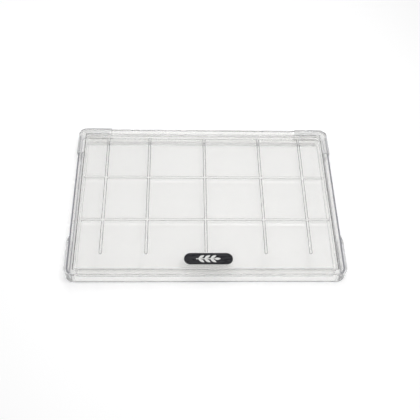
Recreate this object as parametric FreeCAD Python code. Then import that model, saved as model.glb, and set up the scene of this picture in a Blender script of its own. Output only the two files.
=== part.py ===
"""Shallow clear humidity tray: a flat-bottomed tray under a low lift-off lid.

The tray is a floor plate with one upright wall set in from its edge and a
sloping strip along the foot of its back wall.  The lid is a low box, open
below, that drops over that wall and stands on the edge of the floor plate.
Its top is a sheet of even thickness: a flat panel sunk into a raised rim,
stiffened underneath by five long ribs and two cross ribs.  Four clear guards
fit round the lid's corners, each welded on along a low bead at its foot, and
a pill-shaped badge is stuck on the panel.

Frame: millimetres, +X to the right, +Y to the back, +Z up.  The origin is on
the resting surface, under the centre of the object.
"""
import os
from math import pi

import FreeCAD
import Part
from FreeCAD import Vector

# Driving dimensions -------------------------------------------------------
LENGTH = 300.0           # left to right, over the lid's side walls
DEPTH = 200.0            # front to back, over the lid's walls
RIM_TOP = 18.0           # height of the lid's outer top edge
RIM_WIDTH = 7.2          # from the lid's outer face in to the sunk panel
RIM_FALL = 0.6           # the rim's top slopes inwards by this much
PANEL_STEP = 0.8         # the panel's top lies this far under the rim's inner edge
STEP_ROUND = 0.35        # rounding at the head and foot of that step
PANEL_THICK = 1.5        # the rim above the step is as thick
SKIRT_THICK = 1.8        # the lid's side walls
CORNER_RADIUS = 9.0      # outer corners, seen from above
GAP = 0.3                # clearance between the lid and the tray
SEAT_GAP = 0.1           # between the lid's skirt and the edge it stands on
EDGE_ROUND = 0.5         # small rounding on moulded edges

FLOOR_THICK = 1.6
WALL_THICK = 1.7         # the tray's upright wall
WALL_INSET = 9.3         # from the lid's outer face to the wall's inner face
WALL_INNER_RADIUS = 3.6  # inside corners of the tray, seen from above
STRIP_DEPTH = 3.0        # sloping strip along the foot of the back wall
STRIP_HEIGHT = 3.0

LIP_THICK = 1.4          # ring under the lid, just outside the tray's wall
LIP_DEPTH = 1.2          # below the panel's underside

LONG_RIB_RADIUS = 1.65
CROSS_RIB_RADIUS = 1.5
LONG_RIB_STATIONS = (-115.0, -65.6, 0.0, 65.6, 115.0)
LONG_RIB_FRONT = -73.5   # tips of the long ribs
LONG_RIB_BACK = 88.0
CROSS_RIB_STATIONS = (-29.0, 29.5)
CROSS_RIB_HALF = 140.3

FRONT_GUARD_PROUD = 2.6  # beyond the lid's side wall
END_PROUD = 0.6          # beyond the lid's front or back wall, all four guards
FRONT_GUARD_START = -51.0
FRONT_GUARD_CHAMFER = 6.5
FRONT_GUARD_END = 140.5  # where its short front leg stops, from the centre line
FRONT_GUARD_BEND = 9.0   # how far back the outer face starts to turn in
FRONT_GUARD_DROP = 1.0   # its top lies this far under the rim's outer edge
REAR_GUARD_PROUD = 1.3
REAR_GUARD_RAISE = 0.8   # above the rim's outer edge
REAR_GUARD_BACK_LEG = 38.0
REAR_GUARD_SIDE_LEG = 36.0
GUARD_ROUND = 0.4        # rounding on the guards' edges
GUARD_GAP = 0.1          # between a guard and the lid, above the weld bead
WELD_HEIGHT = 0.9        # height of the weld bead along a guard's foot

BADGE_LENGTH = 54.4
BADGE_WIDTH = 15.6
BADGE_THICK = 0.6
BADGE_BORDER = 0.7
BADGE_POCKET = 0.25      # depth of the recess that the black inlay lies in
BADGE_CENTRE = (2.2, -80.25)

# Worked-out levels and insets ---------------------------------------------
RIM_INNER_TOP = RIM_TOP - RIM_FALL
PANEL_TOP = RIM_INNER_TOP - PANEL_STEP
PANEL_UNDER = PANEL_TOP - PANEL_THICK
SKIRT_BOTTOM = FLOOR_THICK + SEAT_GAP
WALL_TOP = PANEL_UNDER - GAP
WALL_OUTER_INSET = WALL_INSET - WALL_THICK
LIP_INNER_INSET = WALL_OUTER_INSET - GAP
MARGIN = 5.0             # overshoot of cutting shapes
EMBED = 0.2              # the lip's root stops this far under the panel's top


def rounded_rectangle(inset, radius, z):
    """Closed wire of the lid's outline, set in by inset, at height z."""
    half_x = LENGTH / 2 - inset
    half_y = DEPTH / 2 - inset
    return pill_wire(half_x, half_y, radius, z)


def pill_wire(half_x, half_y, radius, z, centre=(0.0, 0.0)):
    """Closed wire of a rectangle with round corners, about a centre."""
    cx, cy = centre
    edges = []
    corners = ((1, 1), (-1, 1), (-1, -1), (1, -1))
    slant = radius * (1 - 2 ** -0.5)
    ends = []
    for sx, sy in corners:
        beside = Vector(cx + sx * half_x, cy + sy * (half_y - radius), z)
        middle = Vector(cx + sx * (half_x - slant), cy + sy * (half_y - slant), z)
        above = Vector(cx + sx * (half_x - radius), cy + sy * half_y, z)
        first, last = (beside, above) if sx * sy > 0 else (above, beside)
        ends.append((first, middle, last))
    for index, (first, middle, last) in enumerate(ends):
        edges.append(Part.Arc(first, middle, last).toShape())
        following = ends[(index + 1) % len(ends)][0]
        if last.distanceToPoint(following) > 1e-6:
            edges.append(Part.LineSegment(last, following).toShape())
    return Part.Wire(edges)


def prism(wire, height):
    """Solid block that stands on a flat wire."""
    return Part.Face(wire).extrude(Vector(0, 0, height))


def block(inset, radius, low, high):
    """Rounded block that follows the lid's outline between two heights."""
    return prism(rounded_rectangle(inset, radius, low), high - low)


def frame_ring(outer_inset, outer_radius, inner_inset, inner_radius, low, high):
    """Upright wall of even thickness that follows the lid's outline."""
    outer = block(outer_inset, outer_radius, low, high)
    inner = block(inner_inset, inner_radius, low - MARGIN, high + MARGIN)
    return outer.cut(inner)


def edges_at(shape, z, test=lambda box: True):
    """Edges of a shape that lie flat at one height and pass a test."""
    found = []
    for edge in shape.Edges:
        box = edge.BoundBox
        if abs(box.ZMin - z) < 1e-4 and abs(box.ZMax - z) < 1e-4 and test(box):
            found.append(edge)
    return found


def reaches(inset):
    """Test for edges that lie on the outline set in by inset."""
    half_x = LENGTH / 2 - inset
    half_y = DEPTH / 2 - inset

    def test(box):
        far_x = max(abs(box.XMin), abs(box.XMax))
        far_y = max(abs(box.YMin), abs(box.YMax))
        return abs(far_x - half_x) < 1e-3 or abs(far_y - half_y) < 1e-3
    return test


def one_solid(shape):
    """The single solid that a boolean left, with split faces joined."""
    solids = shape.removeSplitter().Solids
    if len(solids) != 1:
        raise ValueError("expected one solid, found %d" % len(solids))
    return solids[0]


def above_profile(half):
    """Face over the lid's top, seen along one pair of sides that lie at -half and +half.

    From each side it falls evenly over the rim, then by a rounded step to the panel.
    """
    wall = half - RIM_WIDTH
    slope = RIM_FALL / RIM_WIDTH
    stretch = (1 + slope ** 2) ** 0.5
    radius = STEP_ROUND
    slant = radius * 2 ** -0.5
    ceiling = RIM_TOP + MARGIN
    head_z = RIM_INNER_TOP + radius * (slope - stretch)
    foot_z = PANEL_TOP + radius

    def side(sign):
        outer = Vector(sign * (half + MARGIN), 0, RIM_TOP + MARGIN * slope)
        head_start = Vector(sign * (wall + radius - radius * slope / stretch), 0,
                            head_z + radius / stretch)
        head_middle = Vector(sign * (wall + radius - slant), 0, head_z + slant)
        head_end = Vector(sign * wall, 0, head_z)
        foot_start = Vector(sign * wall, 0, foot_z)
        foot_middle = Vector(sign * (wall - radius + slant), 0, foot_z - slant)
        foot_end = Vector(sign * (wall - radius), 0, PANEL_TOP)
        edges = [
            Part.LineSegment(Vector(outer.x, 0, ceiling), outer).toShape(),
            Part.LineSegment(outer, head_start).toShape(),
            Part.Arc(head_start, head_middle, head_end).toShape(),
            Part.LineSegment(head_end, foot_start).toShape(),
            Part.Arc(foot_start, foot_middle, foot_end).toShape(),
        ]
        return edges, foot_end, Vector(outer.x, 0, ceiling)

    left, left_foot, left_top = side(-1)
    right, right_foot, right_top = side(1)
    floor = Part.LineSegment(left_foot, right_foot).toShape()
    roof = Part.LineSegment(right_top, left_top).toShape()
    return Part.Face(Part.Wire(Part.sortEdges(left + right + [floor, roof])[0]))


def above_top():
    """Cutter over the lid's top; its four sides meet in a mitre line at each corner."""
    across = above_profile(LENGTH / 2).extrude(Vector(0, DEPTH + 2 * MARGIN, 0))
    across.translate(Vector(0, -DEPTH / 2 - MARGIN, 0))
    along = above_profile(DEPTH / 2).extrude(Vector(0, LENGTH + 2 * MARGIN, 0))
    along.rotate(Vector(0, 0, 0), Vector(0, 0, 1), 90)
    along.translate(Vector(LENGTH / 2 + MARGIN, 0, 0))
    return across.common(along)


def rib(start, end, radius):
    """Round bar with ball ends between two points on the panel's underside."""
    axis = end - start
    length = axis.Length
    half = length / 2
    run = half - radius
    slant = radius * 2 ** -0.5
    profile = Part.Wire([
        Part.LineSegment(Vector(0, 0, -half), Vector(0, 0, half)).toShape(),
        Part.Arc(Vector(0, 0, half), Vector(slant, 0, run + slant),
                 Vector(radius, 0, run)).toShape(),
        Part.LineSegment(Vector(radius, 0, run), Vector(radius, 0, -run)).toShape(),
        Part.Arc(Vector(radius, 0, -run), Vector(slant, 0, -run - slant),
                 Vector(0, 0, -half)).toShape(),
    ])
    bar = Part.Face(profile).revolve(Vector(0, 0, 0), Vector(0, 0, 1), 360)
    bar = Part.Solid(bar) if bar.ShapeType != "Solid" else bar
    turn = FreeCAD.Rotation(Vector(0, 0, 1), axis)
    bar.Placement = FreeCAD.Placement((start + end) * 0.5, turn)
    return bar


def rib_grid():
    """All ribs, cut off at the panel's mid-plane."""
    bars = []
    for x in LONG_RIB_STATIONS:
        bars.append(rib(Vector(x, LONG_RIB_FRONT, PANEL_UNDER),
                        Vector(x, LONG_RIB_BACK, PANEL_UNDER), LONG_RIB_RADIUS))
    for y in CROSS_RIB_STATIONS:
        bars.append(rib(Vector(-CROSS_RIB_HALF, y, PANEL_UNDER),
                        Vector(CROSS_RIB_HALF, y, PANEL_UNDER), CROSS_RIB_RADIUS))
    grid = bars[0].multiFuse(bars[1:])
    upper = Part.makeBox(LENGTH, DEPTH, MARGIN,
                         Vector(-LENGTH / 2, -DEPTH / 2, PANEL_UNDER + PANEL_THICK / 2))
    return grid.cut(upper)


def back_strip():
    """Sloping strip between the floor and the back wall, from side to side of the cavity."""
    end = -LENGTH / 2
    foot = DEPTH / 2 - WALL_INSET
    low = FLOOR_THICK / 2
    high = FLOOR_THICK + STRIP_HEIGHT
    outline = Part.makePolygon([
        Vector(end, foot - STRIP_DEPTH, low), Vector(end, foot - STRIP_DEPTH, FLOOR_THICK),
        Vector(end, foot, high), Vector(end, foot + MARGIN, high),
        Vector(end, foot + MARGIN, low), Vector(end, foot - STRIP_DEPTH, low)])
    bar = Part.Face(outline).extrude(Vector(LENGTH, 0, 0))
    return bar.common(block(WALL_INSET - WALL_THICK / 2, WALL_INNER_RADIUS + WALL_THICK / 2,
                            low, WALL_TOP))


def make_tray():
    """Floor plate with one upright wall, open at the top."""
    plate = block(0, CORNER_RADIUS, 0, FLOOR_THICK)
    body = plate.fuse(block(WALL_OUTER_INSET, WALL_INNER_RADIUS + WALL_THICK,
                            0, WALL_TOP))
    body = body.cut(block(WALL_INSET, WALL_INNER_RADIUS, FLOOR_THICK, WALL_TOP + MARGIN))
    body = one_solid(body.fuse(back_strip()))
    body = body.makeFillet(EDGE_ROUND, edges_at(body, WALL_TOP))
    return body.makeFillet(EDGE_ROUND, edges_at(body, 0, reaches(0)))


def filled_lid(grown=0.0):
    """The lid's outer faces and its top, as a filled block, grown all round."""
    body = block(-grown, CORNER_RADIUS + grown, SKIRT_BOTTOM, RIM_TOP + grown)
    above = above_top()
    above.translate(Vector(0, 0, grown))
    body = one_solid(body.cut(above))
    edges = []
    for edge in body.Edges:
        box = edge.BoundBox
        if box.ZMin > RIM_TOP + grown - RIM_FALL / 2 and reaches(-grown)(box):
            edges.append(edge)
    return body.makeFillet(EDGE_ROUND, edges)


def make_lid():
    """Lid: outer skirt, sloping rim, sunk panel, ribs and locating lip."""
    sheet = above_top()
    sheet.translate(Vector(0, 0, -PANEL_THICK))
    cavity = block(SKIRT_THICK, CORNER_RADIUS - SKIRT_THICK, SKIRT_BOTTOM - MARGIN, RIM_TOP)
    body = filled_lid().cut(cavity.cut(sheet))
    lip_inner_radius = WALL_INNER_RADIUS + WALL_THICK + GAP
    lip = frame_ring(LIP_INNER_INSET - LIP_THICK, lip_inner_radius + LIP_THICK,
                     LIP_INNER_INSET, lip_inner_radius,
                     PANEL_UNDER - LIP_DEPTH, PANEL_TOP - EMBED)
    return one_solid(body.multiFuse([lip, rib_grid()]))


def finished_guard(blank, top):
    """A guard cut from its blank: clear of the lid but for the bead, with its top rounded."""
    body = one_solid(blank.cut(filled_lid(GUARD_GAP)))
    against_lid = reaches(-GUARD_GAP)
    outside = []
    for edge in edges_at(body, top):
        if top > RIM_TOP or not against_lid(edge.BoundBox):
            outside.append(edge)
    body = body.makeFillet(GUARD_ROUND, outside)
    foot = block(-MARGIN, CORNER_RADIUS + MARGIN, SKIRT_BOTTOM, SKIRT_BOTTOM + WELD_HEIGHT)
    bead = blank.common(foot).cut(filled_lid())
    return one_solid(body.fuse(bead))


def make_front_guard():
    """Left front guard: a long side leg that hooks round the corner."""
    wall_x = -LENGTH / 2
    wall_y = -DEPTH / 2
    outer_x = wall_x - FRONT_GUARD_PROUD
    outer_y = wall_y - END_PROUD
    bend_y = wall_y + FRONT_GUARD_BEND
    bend_x = -FRONT_GUARD_END - 1.0
    base = SKIRT_BOTTOM
    bend_curve = Part.Ellipse(Vector(bend_x, bend_y, base), bend_x - outer_x, bend_y - outer_y)
    inside = Vector(wall_x + MARGIN, wall_y + MARGIN, base)
    start = Vector(wall_x - END_PROUD, FRONT_GUARD_START, base)
    shoulder = Vector(outer_x, FRONT_GUARD_START - FRONT_GUARD_CHAMFER, base)
    bend = Vector(outer_x, bend_y, base)
    round_end = Vector(bend_x, outer_y, base)
    end = Vector(-FRONT_GUARD_END, outer_y, base)
    end_wall = Vector(-FRONT_GUARD_END, wall_y + MARGIN, base)
    start_wall = Vector(wall_x + MARGIN, FRONT_GUARD_START, base)
    wire = Part.Wire([
        Part.LineSegment(start, shoulder).toShape(),
        Part.LineSegment(shoulder, bend).toShape(),
        Part.ArcOfEllipse(bend_curve, pi, 1.5 * pi).toShape(),
        Part.LineSegment(round_end, end).toShape(),
        Part.LineSegment(end, end_wall).toShape(),
        Part.LineSegment(end_wall, inside).toShape(),
        Part.LineSegment(inside, start_wall).toShape(),
        Part.LineSegment(start_wall, start).toShape(),
    ])
    top = RIM_TOP - FRONT_GUARD_DROP
    return finished_guard(prism(wire, top - base), top)


def make_rear_guard():
    """Left rear guard: an angle cap over the corner and the rim's top."""
    outer_x = LENGTH / 2 + REAR_GUARD_PROUD
    outer_y = DEPTH / 2 + END_PROUD
    top = RIM_TOP + REAR_GUARD_RAISE
    full = prism(pill_wire(outer_x, outer_y, CORNER_RADIUS + END_PROUD, SKIRT_BOTTOM),
                 top - SKIRT_BOTTOM)
    corner = Part.makeBox(
        REAR_GUARD_BACK_LEG + REAR_GUARD_PROUD, REAR_GUARD_SIDE_LEG + END_PROUD, top,
        Vector(-outer_x, DEPTH / 2 - REAR_GUARD_SIDE_LEG, 0))
    inside = Part.makeBox(LENGTH - 2 * RIM_WIDTH, DEPTH - 2 * RIM_WIDTH, top,
                          Vector(RIM_WIDTH - LENGTH / 2, RIM_WIDTH - DEPTH / 2, 0))
    blank = full.common(corner).cut(inside)
    return finished_guard(blank, top)


def mirrored(shape):
    """The same piece for the right-hand side."""
    return shape.mirror(Vector(0, 0, 0), Vector(1, 0, 0))


def badge_outline(border, z):
    """Pill-shaped wire, set in from the badge's edge by border."""
    half_x = BADGE_LENGTH / 2 - border
    half_y = BADGE_WIDTH / 2 - border
    return pill_wire(half_x, half_y, half_y, z, BADGE_CENTRE)


def make_badge_plate():
    """White pill-shaped plate with a shallow recess in its top."""
    plate = prism(badge_outline(0, PANEL_TOP), BADGE_THICK)
    pocket = prism(badge_outline(BADGE_BORDER, PANEL_TOP + BADGE_THICK - BADGE_POCKET),
                   BADGE_POCKET + MARGIN)
    return one_solid(plate.cut(pocket))


def make_badge_inlay():
    """Black inlay that fills the badge plate's recess."""
    return prism(badge_outline(BADGE_BORDER, PANEL_TOP + BADGE_THICK - BADGE_POCKET),
                 BADGE_POCKET)


def make_all():
    """Every piece by its name."""
    front_guard = make_front_guard()
    rear_guard = make_rear_guard()
    return {
        "tray": make_tray(),
        "lid": make_lid(),
        "front_left_guard": front_guard,
        "front_right_guard": mirrored(front_guard),
        "rear_left_guard": rear_guard,
        "rear_right_guard": mirrored(rear_guard),
        "badge_plate": make_badge_plate(),
        "badge_inlay": make_badge_inlay(),
    }


os.makedirs("parts", exist_ok=True)
for name, shape in make_all().items():
    box = shape.BoundBox
    print("%-18s valid %s solids %d volume %.1f  box %s" % (
        name, shape.isValid(), len(shape.Solids), shape.Volume,
        [round(value, 2) for value in (box.XMin, box.XMax, box.YMin, box.YMax, box.ZMin, box.ZMax)]))
    shape.exportStep("parts/%s.step" % name)
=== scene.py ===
"""Looks of the shallow clear humidity tray: clear mouldings, badge, floor, light and camera.

Metres, unless a comment says otherwise, in the CAD's frame: +X right, +Y back, +Z up.
"""
from math import cos, pi, radians, sin

import bmesh
import bpy
from mathutils import Matrix, Vector


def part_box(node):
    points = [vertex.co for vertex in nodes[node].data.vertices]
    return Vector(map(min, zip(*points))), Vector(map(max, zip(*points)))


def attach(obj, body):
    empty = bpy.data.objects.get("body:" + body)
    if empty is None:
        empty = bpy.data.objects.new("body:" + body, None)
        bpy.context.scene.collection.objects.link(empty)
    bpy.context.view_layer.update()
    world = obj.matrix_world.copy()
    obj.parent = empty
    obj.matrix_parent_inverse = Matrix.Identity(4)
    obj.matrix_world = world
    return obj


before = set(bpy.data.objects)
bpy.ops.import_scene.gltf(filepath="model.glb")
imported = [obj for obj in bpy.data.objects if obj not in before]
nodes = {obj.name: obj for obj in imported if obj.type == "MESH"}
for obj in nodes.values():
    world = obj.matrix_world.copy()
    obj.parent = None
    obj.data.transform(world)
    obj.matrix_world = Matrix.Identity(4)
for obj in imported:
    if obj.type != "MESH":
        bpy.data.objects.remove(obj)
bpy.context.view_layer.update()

MM = 0.001

# Camera -------------------------------------------------------------------
CAMERA_PLACE = (-0.02775, -0.43439, 0.65161)
CAMERA_PITCH = 56.587    # degrees below the horizon
CAMERA_YAW = 4.509       # degrees clockwise from +Y, seen from above
CAMERA_ROLL = 3.951      # degrees
CAMERA_LENS = 57.475     # mm
CAMERA_SENSOR = 36       # mm, the sensor's width
CAMERA_CLIP = 0.01       # nothing nearer than this is drawn

# Lamps --------------------------------------------------------------------
SOFT_TOWARDS = (0.0, 0.0, 1.0)
SOFT_SPREAD = 90.0       # degrees
SOFT_STRENGTH = 0.6
KEY_PLACE = (0.14, -0.12, 0.59)
KEY_SIZE = 0.06
KEY_POWER = 0.85
BACK_PLACE = (-0.08, 0.35, 0.5)
BACK_SIZE = 0.4
BACK_POWER = 0.8

# Studio: colours by the direction looked in --------------------------------
WORLD_LIGHT = 0.35
UPPER_COLOUR = (0.95, 0.95, 0.95)
LOW_FRONT = (0.6, 0.61, 0.62)    # in front and behind
LOW_SIDE = (0.35, 0.35, 0.4)
LOW_Z = 0.1              # low colours up to this upward part of the direction
UPPER_Z = 0.6            # upper colour from this upward part on
SIDE_START = 0.4         # LOW_FRONT up to this sideways part of the direction
SIDE_END = 0.8           # LOW_SIDE from this sideways part on
BACKDROP_COLOUR = (0.86, 0.86, 0.86)

# Floor --------------------------------------------------------------------
FLOOR_HALF = 6.0
FLOOR_LEVEL = -0.4 * MM  # just clear of the tray's underside
FLOOR_COLOUR = (0.93, 0.93, 0.93)
FLOOR_GLOW = 0.3

# Rays ---------------------------------------------------------------------
MAX_BOUNCES = 128        # clear walls mirror and pass on a ray many times before it ends
MAX_LAMP_PASSES = 64     # clear faces in a row that lamp light may shine through

# Clear plastic ------------------------------------------------------------
REFRACTION = 1.5
MOULDED_TINT = (1.0, 0.998, 0.992)
GUARD_TINT = (1.0, 1.0, 1.0)
MOULDED_CLARITY = 0.97   # the rest is haze
GUARD_CLARITY = 0.85
ABSORPTION_COLOUR = (0.35, 0.40, 0.45)   # red is absorbed most
ABSORPTION = 6.0         # per metre
FACE_LETS_THROUGH = 0.865    # share of the lamp light that goes on through a face
GRAZING_LOSS = 5.0       # the higher, the nearer to edge-on before a face stops lamp light

# The lid, and the panel that is sunk into its rim -------------------------
LID_HALF_X, LID_HALF_Y, LID_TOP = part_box("lid")[1]
RIM_WIDTH = 7.2 * MM
PANEL_HALF_X = LID_HALF_X - RIM_WIDTH
PANEL_HALF_Y = LID_HALF_Y - RIM_WIDTH
LONG_RIBS = (-0.115, -0.0656, 0.0, 0.0656, 0.115)    # X of the ribs' middles
CROSS_RIBS = (-0.029, 0.0295)    # Y of the ribs' middles

# Painted effects: each pair says where one is full and where it is gone ----
# Painted shade low on the side walls, by height
SIDE_SHADE_COLOUR = (0.15, 0.15, 0.22)
SIDE_SHADE_HEIGHTS = (4 * MM, 14 * MM)

# Lamp light that the ribs gather and spread, by the distance from a rib's middle
CROSS_LINE = (0.4 * MM, 1.8 * MM)
CROSS_LINE_GAIN = 0.5
CROSS_BAND_AT = 3.0 * MM         # a dim band on each side of the bright line
CROSS_BAND = (0.5 * MM, 1.6 * MM)
CROSS_BAND_LOSS = 0.4
LONG_BAND = (0.8 * MM, 3.0 * MM)
LONG_BAND_LOSS = 0.3

# Painted shade along the step round the panel, by the distance from the step and under the lid's
# top
STEP_LINE = (0.2 * MM, 0.7 * MM)
STEP_LINE_END = (0.7 * MM, 0.9 * MM)     # outwards only, which ends the lines at the corners
STEP_LINE_DEPTHS = (1.6 * MM, 1.8 * MM)
STEP_LINE_FRONT = (0.0, 50 * MM)     # Y of the part counted as the front
SIDE_STEP_SHADE = 0.85
FRONT_STEP_SHADE = 0.5

# Painted shade that dims the rim along the back
BACK_RIM_SHADE = 0.14
BACK_RIM_EDGE = 1.0 * MM         # it fades in over this much of the rim
BACK_RIM_DEPTHS = (1.0 * MM, 1.4 * MM)

# Badge --------------------------------------------------------------------
WHITE = (0.85, 0.85, 0.84)
WORN_WHITE = (0.7, 0.7, 0.68)
BLACK = (0.020, 0.020, 0.024)
WORN_BLACK = (0.034, 0.034, 0.040)
SPRIG_LENGTH = 27 * MM
SPRIG_THICK = 0.1 * MM
STEM_WIDTH = 1.1 * MM
LEAF_PAIRS = 3
FIRST_PAIR = 0.4         # where the first pair grows, as a share of the space for one pair
LEAF_LENGTH = 7.5 * MM
LEAF_WIDTH = 3.0 * MM
LEAF_SPREAD = 30         # degrees between a side leaf and the stem
LEAF_STEPS = 8           # outline steps along one edge of a leaf


def add_camera():
    """The camera that looks down at the front of the tray."""
    pitch = radians(CAMERA_PITCH)
    yaw = radians(CAMERA_YAW)
    roll = radians(CAMERA_ROLL)
    ahead = Vector((sin(yaw) * cos(pitch), cos(yaw) * cos(pitch), -sin(pitch)))
    level = Vector((cos(yaw), -sin(yaw), 0))
    upward = level.cross(ahead)
    right = cos(roll) * level + sin(roll) * upward
    top = -sin(roll) * level + cos(roll) * upward
    data = bpy.data.cameras.new("camera")
    data.sensor_width = CAMERA_SENSOR
    data.lens = CAMERA_LENS
    data.clip_start = CAMERA_CLIP
    camera = bpy.data.objects.new("camera", data)
    turn = Matrix((right, top, -ahead)).transposed().to_4x4()
    camera.matrix_world = Matrix.Translation(CAMERA_PLACE) @ turn
    bpy.context.scene.collection.objects.link(camera)
    bpy.context.scene.camera = camera


class Tree:
    """Short calls for building a node tree; a value is a number or another node's output."""

    def __init__(self, tree):
        self.tree = tree
        tree.nodes.clear()

    def node(self, kind, inputs=None, **settings):
        """New node, with its inputs set to values by name or number."""
        made = self.tree.nodes.new(kind)
        for name, value in settings.items():
            setattr(made, name, value)
        for name, value in (inputs or {}).items():
            if isinstance(value, bpy.types.NodeSocket):
                self.tree.links.new(value, made.inputs[name])
            else:
                made.inputs[name].default_value = value
        return made

    def calc(self, operation, first, second=0.0):
        """What one arithmetic operation gives."""
        return self.node("ShaderNodeMath", {0: first, 1: second}, operation=operation).outputs[0]

    def product(self, first, *others):
        """All the values multiplied."""
        for other in others:
            first = self.calc("MULTIPLY", first, other)
        return first

    def size(self, value):
        """The value without its sign."""
        return self.calc("ABSOLUTE", value)

    def distance(self, value, place):
        """How far the value lies from place."""
        return self.size(self.calc("SUBTRACT", value, place))

    def nearest(self, value, places):
        """How far the value lies from the nearest of the places."""
        least, *others = [self.distance(value, place) for place in places]
        for other in others:
            least = self.calc("MINIMUM", least, other)
        return least

    def span(self, value, low, high, start=0.35, end=0.65):
        """The value mapped from start..end to low..high, and held there beyond them."""
        return self.node("ShaderNodeMapRange", {
            "Value": value, "From Min": start, "From Max": end,
            "To Min": low, "To Max": high}).outputs["Result"]

    def fade(self, value, full, gone):
        """1 where the value is full, falling smoothly to 0 where it is gone."""
        return self.node("ShaderNodeMapRange", {
            "Value": value, "From Min": full, "From Max": gone, "To Min": 1.0, "To Max": 0.0},
            interpolation_type="SMOOTHSTEP").outputs["Result"]

    def mix(self, share, first, second):
        """The first colour, with this share of the second over it."""
        return self.node("ShaderNodeMixRGB", {
            "Fac": share, "Color1": first, "Color2": second}).outputs[0]

    def ramp(self, value, low, low_colour, high, high_colour):
        """Colour that turns from low_colour to high_colour as the value goes from low to high."""
        ramp = self.node("ShaderNodeValToRGB", {"Fac": value})
        stops = ((low, low_colour), (high, high_colour))
        for element, (position, colour) in zip(ramp.color_ramp.elements, stops):
            element.position = position
            element.color = (*colour, 1)
        return ramp.outputs["Color"]

    def place(self):
        """X, Y and Z of the point on the object."""
        place = self.node("ShaderNodeTexCoord").outputs["Object"]
        return self.node("ShaderNodeSeparateXYZ", {"Vector": place}).outputs

    def noise(self, scale, detail, stretch=(1, 1, 1)):
        """Noise fixed to the object; scale is in features per metre."""
        place = self.node("ShaderNodeTexCoord").outputs["Object"]
        spread = self.node("ShaderNodeMapping", {"Vector": place, "Scale": stretch})
        return self.node("ShaderNodeTexNoise", {
            "Vector": spread.outputs[0], "Scale": scale, "Detail": detail}).outputs["Fac"]

    def bump(self, height, strength, distance):
        """Surface direction over small hills; distance is their height."""
        return self.node("ShaderNodeBump", {
            "Height": height, "Strength": strength, "Distance": distance}).outputs[0]


def new_material(name):
    """Empty material and its tree."""
    material = bpy.data.materials.new(name)
    material.use_nodes = True
    return material, Tree(material.node_tree)


def side_shade_band(tree, x, z, off_side, width, share):
    """Share of painted shade low on the side walls, at off_side beyond the lid's side faces."""
    off_middle = tree.distance(tree.size(x), LID_HALF_X + off_side)
    return tree.product(tree.fade(off_middle, width / 4, width), share,
                        tree.fade(z, *SIDE_SHADE_HEIGHTS))


def rib_light(tree, x, y):
    """Lamp light after the ribs have gathered and spread it, as a share of what it was.

    A bright line in a dim band lies under each cross rib, and a dim band under each long rib.
    """
    off_cross = tree.nearest(y, CROSS_RIBS)
    line = tree.fade(off_cross, *CROSS_LINE)
    band = tree.fade(tree.distance(off_cross, CROSS_BAND_AT), *CROSS_BAND)
    long_band = tree.fade(tree.nearest(x, LONG_RIBS), *LONG_BAND)
    change = tree.calc("SUBTRACT", tree.product(line, CROSS_LINE_GAIN),
                       tree.product(band, CROSS_BAND_LOSS))
    change = tree.calc("SUBTRACT", change, tree.product(long_band, LONG_BAND_LOSS))
    return tree.calc("ADD", change, 1.0)


def step_shade(tree, x, y, z):
    """Share of painted shade along the front and the sides of the step round the panel."""
    beyond_x = tree.calc("SUBTRACT", tree.size(x), PANEL_HALF_X)
    beyond_y = tree.calc("SUBTRACT", tree.size(y), PANEL_HALF_Y)
    side = tree.product(tree.fade(tree.size(beyond_x), *STEP_LINE), SIDE_STEP_SHADE)
    front = tree.product(tree.fade(tree.size(beyond_y), *STEP_LINE),
                         tree.fade(y, *STEP_LINE_FRONT), FRONT_STEP_SHADE)
    within = tree.fade(tree.calc("MAXIMUM", beyond_x, beyond_y), *STEP_LINE_END)
    start, end = STEP_LINE_DEPTHS
    return tree.product(tree.calc("MAXIMUM", side, front), within,
                        tree.fade(z, LID_TOP - start, LID_TOP - end))


def back_rim_shade(tree, y, z):
    """Share of painted shade over the rim along the back."""
    start, end = BACK_RIM_DEPTHS
    return tree.product(tree.fade(y, PANEL_HALF_Y + BACK_RIM_EDGE, PANEL_HALF_Y), BACK_RIM_SHADE,
                        tree.fade(z, LID_TOP - start, LID_TOP - end))


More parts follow.
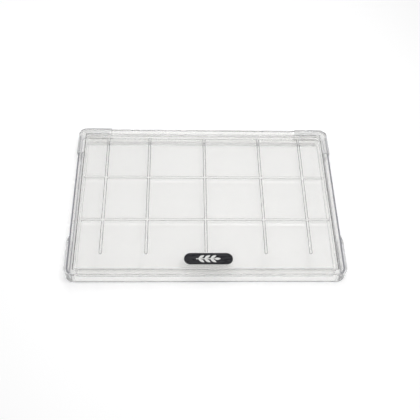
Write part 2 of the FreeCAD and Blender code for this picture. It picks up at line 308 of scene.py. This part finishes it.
def clear_plastic(name, tint, clarity, off_side, shade_width, shade_share, over_panel=False):
    """Clear moulded polystyrene with a band of painted shade low on its sides.

    Lamps shine through it in straight lines, dimmed at each face, and more where
    they graze one.  Over the panel the light also carries the ribs' pattern, and
    the surface has painted shade along the step and over the rim at the back.
    """
    material, tree = new_material(name)
    waves = tree.noise(scale=22.0, detail=2.0)
    scuffs = tree.noise(scale=260.0, detail=5.0, stretch=(1, 0.18, 1))
    rough = tree.span(scuffs, low=0.0, high=0.04, start=0.5, end=0.8)
    bump = tree.bump(waves, strength=0.004, distance=0.4 * MM)
    facing = tree.node("ShaderNodeLayerWeight", {"Blend": 0.5}).outputs["Facing"]
    grazing = tree.calc("POWER", facing, GRAZING_LOSS)
    lamp_light = tree.span(grazing, low=FACE_LETS_THROUGH, high=0.0, start=0.0, end=1.0)
    x, y, z = tree.place()
    # Painted shade: a dark blue-grey band darkens the plastic's colour low on the side walls.
    side_shaded = side_shade_band(tree, x, z, off_side, shade_width, shade_share)
    colour = tree.mix(side_shaded, (*tint, 1), (*SIDE_SHADE_COLOUR, 1))
    if over_panel:
        # Painted shade: the rim along the back and the step round the panel are darkened towards
        # black.
        shade_black = (0, 0, 0, 1)
        lamp_light = tree.product(lamp_light, rib_light(tree, x, y))
        colour = tree.mix(back_rim_shade(tree, y, z), colour, shade_black)
        # Painted shade: a dark line along the step round the panel.
        colour = tree.mix(step_shade(tree, x, y, z), colour, shade_black)
    glass = tree.node("ShaderNodeBsdfPrincipled", {
        "Base Color": colour, "Roughness": rough, "IOR": REFRACTION,
        "Transmission Weight": clarity, "Normal": bump})
    through = tree.node("ShaderNodeBsdfTransparent", {"Color": lamp_light})
    from_lamp = tree.node("ShaderNodeLightPath").outputs["Is Shadow Ray"]
    surface = tree.node("ShaderNodeMixShader", {
        0: from_lamp, 1: glass.outputs[0], 2: through.outputs[0]})
    depth = tree.node("ShaderNodeVolumeAbsorption", {
        "Color": (*ABSORPTION_COLOUR, 1), "Density": ABSORPTION})
    tree.node("ShaderNodeOutputMaterial", {
        "Surface": surface.outputs[0], "Volume": depth.outputs[0]})
    return material


def badge_plastic(name, colour, worn):
    """Glossy coloured plastic with faint orange peel and scuffs."""
    material, tree = new_material(name)
    peel = tree.noise(scale=900.0, detail=3.0)
    scuffs = tree.noise(scale=500.0, detail=6.0, stretch=(0.25, 1, 1))
    body = tree.node("ShaderNodeBsdfPrincipled", {
        "Base Color": tree.ramp(scuffs, 0.45, colour, 0.8, worn),
        "Roughness": tree.span(scuffs, low=0.22, high=0.4),
        "Normal": tree.bump(peel, strength=0.15, distance=0.05 * MM)})
    tree.node("ShaderNodeOutputMaterial", {"Surface": body.outputs[0]})
    return material


def floor_paper():
    """Pale matt paper with a faint grain, which glows a little of its own."""
    material, tree = new_material("floor_paper")
    grain = tree.noise(scale=300.0, detail=4.0)
    body = tree.node("ShaderNodeBsdfDiffuse", {
        "Color": (*FLOOR_COLOUR, 1), "Normal": tree.bump(grain, strength=0.05, distance=0.2 * MM)})
    glow = tree.node("ShaderNodeEmission", {"Color": (1, 1, 1, 1), "Strength": FLOOR_GLOW})
    both = tree.node("ShaderNodeAddShader", {0: body.outputs[0], 1: glow.outputs[0]})
    tree.node("ShaderNodeOutputMaterial", {"Surface": both.outputs[0]})
    return material


def add_floor():
    """Square floor under the object."""
    mesh = bpy.data.meshes.new("floor")
    corners = [(FLOOR_HALF * side_x, FLOOR_HALF * side_y, FLOOR_LEVEL)
               for side_x, side_y in ((-1, -1), (1, -1), (1, 1), (-1, 1))]
    mesh.from_pydata(corners, [], [(0, 1, 2, 3)])
    mesh.materials.append(floor_paper())
    floor = bpy.data.objects.new("floor", mesh)
    bpy.context.scene.collection.objects.link(floor)


def add_world():
    """A soft studio: bright overhead, darker low down at the sides than at the front and back.

    The camera sees a plain backdrop in its place.
    """
    world = bpy.data.worlds.new("studio")
    world.use_nodes = True
    tree = Tree(world.node_tree)
    way = tree.node("ShaderNodeTexCoord").outputs["Generated"]
    way_x, _, way_z = tree.node("ShaderNodeSeparateXYZ", {"Vector": way}).outputs
    sideways = tree.span(tree.size(way_x), low=0.0, high=1.0, start=SIDE_START, end=SIDE_END)
    front, side = [tree.ramp(way_z, LOW_Z, low_colour, UPPER_Z, UPPER_COLOUR)
                   for low_colour in (LOW_FRONT, LOW_SIDE)]
    studio = tree.node("ShaderNodeBackground", {
        "Color": tree.mix(sideways, front, side), "Strength": WORLD_LIGHT})
    backdrop = tree.node("ShaderNodeBackground", {"Color": (*BACKDROP_COLOUR, 1)})
    from_camera = tree.node("ShaderNodeLightPath").outputs["Is Camera Ray"]
    seen = tree.node("ShaderNodeMixShader", {
        0: from_camera, 1: studio.outputs[0], 2: backdrop.outputs[0]})
    tree.node("ShaderNodeOutputWorld", {"Surface": seen.outputs[0]})
    bpy.context.scene.world = world


def add_lamp(name, kind, towards, strength):
    """Lamp that lies in the direction towards and shines back from there.

    It shows in no reflection and through no clear face.
    """
    data = bpy.data.lights.new(name, kind)
    data.energy = strength
    lamp = bpy.data.objects.new(name, data)
    lamp.rotation_euler = Vector(towards).to_track_quat("Z", "Y").to_euler()
    lamp.visible_glossy = False
    lamp.visible_transmission = False
    bpy.context.scene.collection.objects.link(lamp)
    return lamp


def add_sun(name, towards, spread, strength):
    """Distant lamp; spread is its width in degrees."""
    lamp = add_lamp(name, "SUN", towards, strength)
    lamp.data.angle = radians(spread)


def add_area(name, place, size, power):
    """Square lamp at place, which shines at the object's centre."""
    lamp = add_lamp(name, "AREA", place, power)
    lamp.data.shape = "SQUARE"
    lamp.data.size = size
    lamp.location = place
    lamp.visible_camera = False


def set_ray_limits():
    """How often a ray may bounce, and how many clear faces lamp light may pass."""
    cycles = bpy.context.scene.cycles
    cycles.max_bounces = MAX_BOUNCES
    cycles.transmission_bounces = MAX_BOUNCES
    cycles.glossy_bounces = MAX_BOUNCES
    cycles.transparent_max_bounces = MAX_LAMP_PASSES
    cycles.blur_glossy = 0.0


def leaf_outline(foot, heading):
    """Corners of a pointed leaf that grows from foot in the direction heading, in degrees."""
    along = Vector((cos(radians(heading)), sin(radians(heading))))
    across = Vector((-along.y, along.x))
    corners = []
    for step in range(2 * LEAF_STEPS):
        share = step / LEAF_STEPS
        side = 1 if share <= 1 else -1
        reach = share if share <= 1 else 2 - share
        swell = across * side * LEAF_WIDTH / 2 * sin(pi * reach)
        corners.append(foot + along * LEAF_LENGTH * reach - swell)
    return corners


def sprig_outlines(start):
    """Outlines of the stem, the leaf at its tip and its side leaves, from the stem's foot."""
    stem_end = SPRIG_LENGTH - LEAF_LENGTH
    half = STEM_WIDTH / 2
    stem = ((0, -half), (stem_end, -half), (stem_end, half), (0, half))
    outlines = [[start + Vector(corner) for corner in stem]]
    outlines.append(leaf_outline(start + Vector((stem_end, 0)), 0))
    for pair in range(LEAF_PAIRS):
        foot = stem_end * (pair + FIRST_PAIR) / LEAF_PAIRS
        for side in (1, -1):
            outlines.append(leaf_outline(start + Vector((foot, side * half)), side * LEAF_SPREAD))
    return outlines


def add_sprig(material):
    """Sprig of leaves on the badge, half sunk into the inlay's top."""
    low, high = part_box("badge_inlay")
    centre = Vector(((low[0] + high[0]) / 2, (low[1] + high[1]) / 2))
    shape = bmesh.new()
    for outline in sprig_outlines(centre - Vector((SPRIG_LENGTH / 2, 0))):
        base = shape.faces.new([shape.verts.new((*corner, high[2] - SPRIG_THICK / 2))
                                for corner in outline])
        lifted = bmesh.ops.extrude_face_region(shape, geom=[base])["geom"]
        corners = [part for part in lifted if isinstance(part, bmesh.types.BMVert)]
        bmesh.ops.translate(shape, verts=corners, vec=(0, 0, SPRIG_THICK))
    bmesh.ops.recalc_face_normals(shape, faces=shape.faces)
    mesh = bpy.data.meshes.new("badge_sprig")
    shape.to_mesh(mesh)
    shape.free()
    mesh.materials.append(material)
    sprig = bpy.data.objects.new("badge_sprig", mesh)
    bpy.context.scene.collection.objects.link(sprig)
    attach(sprig, "lid")


def paint(node, material):
    """Gives a CAD node a material in all its slots."""
    piece = nodes[node]
    if not piece.material_slots:
        piece.data.materials.append(material)
    for slot in piece.material_slots:
        slot.material = material


def paint_clear_pieces():
    """The tray, the lid and the guards, each with the band of painted shade where its own side
    walls lie.
    """
    paint("tray", clear_plastic("clear_tray", MOULDED_TINT, MOULDED_CLARITY, off_side=-1.3 * MM,
                                shade_width=1.6 * MM, shade_share=0.6))
    paint("lid", clear_plastic("clear_lid", MOULDED_TINT, MOULDED_CLARITY, off_side=-1.8 * MM,
                               shade_width=1.7 * MM, shade_share=0.22, over_panel=True))
    guard = clear_plastic("clear_guard", GUARD_TINT, GUARD_CLARITY, off_side=1.5 * MM,
                          shade_width=3.0 * MM, shade_share=0.05)
    for corner in ("front_left", "front_right", "rear_left", "rear_right"):
        paint(corner + "_guard", guard)


def finish_badge():
    """The badge's plate and inlay, and the sprig on them."""
    badge_white = badge_plastic("badge_white", WHITE, WORN_WHITE)
    paint("badge_plate", badge_white)
    paint("badge_inlay", badge_plastic("badge_black", BLACK, WORN_BLACK))
    add_sprig(badge_white)


add_camera()
add_floor()
add_world()
add_sun("soft", SOFT_TOWARDS, SOFT_SPREAD, SOFT_STRENGTH)
add_area("key", KEY_PLACE, KEY_SIZE, KEY_POWER)
add_area("back", BACK_PLACE, BACK_SIZE, BACK_POWER)
set_ray_limits()
paint_clear_pieces()
finish_badge()
bpy.context.scene.view_settings.view_transform = "Standard"
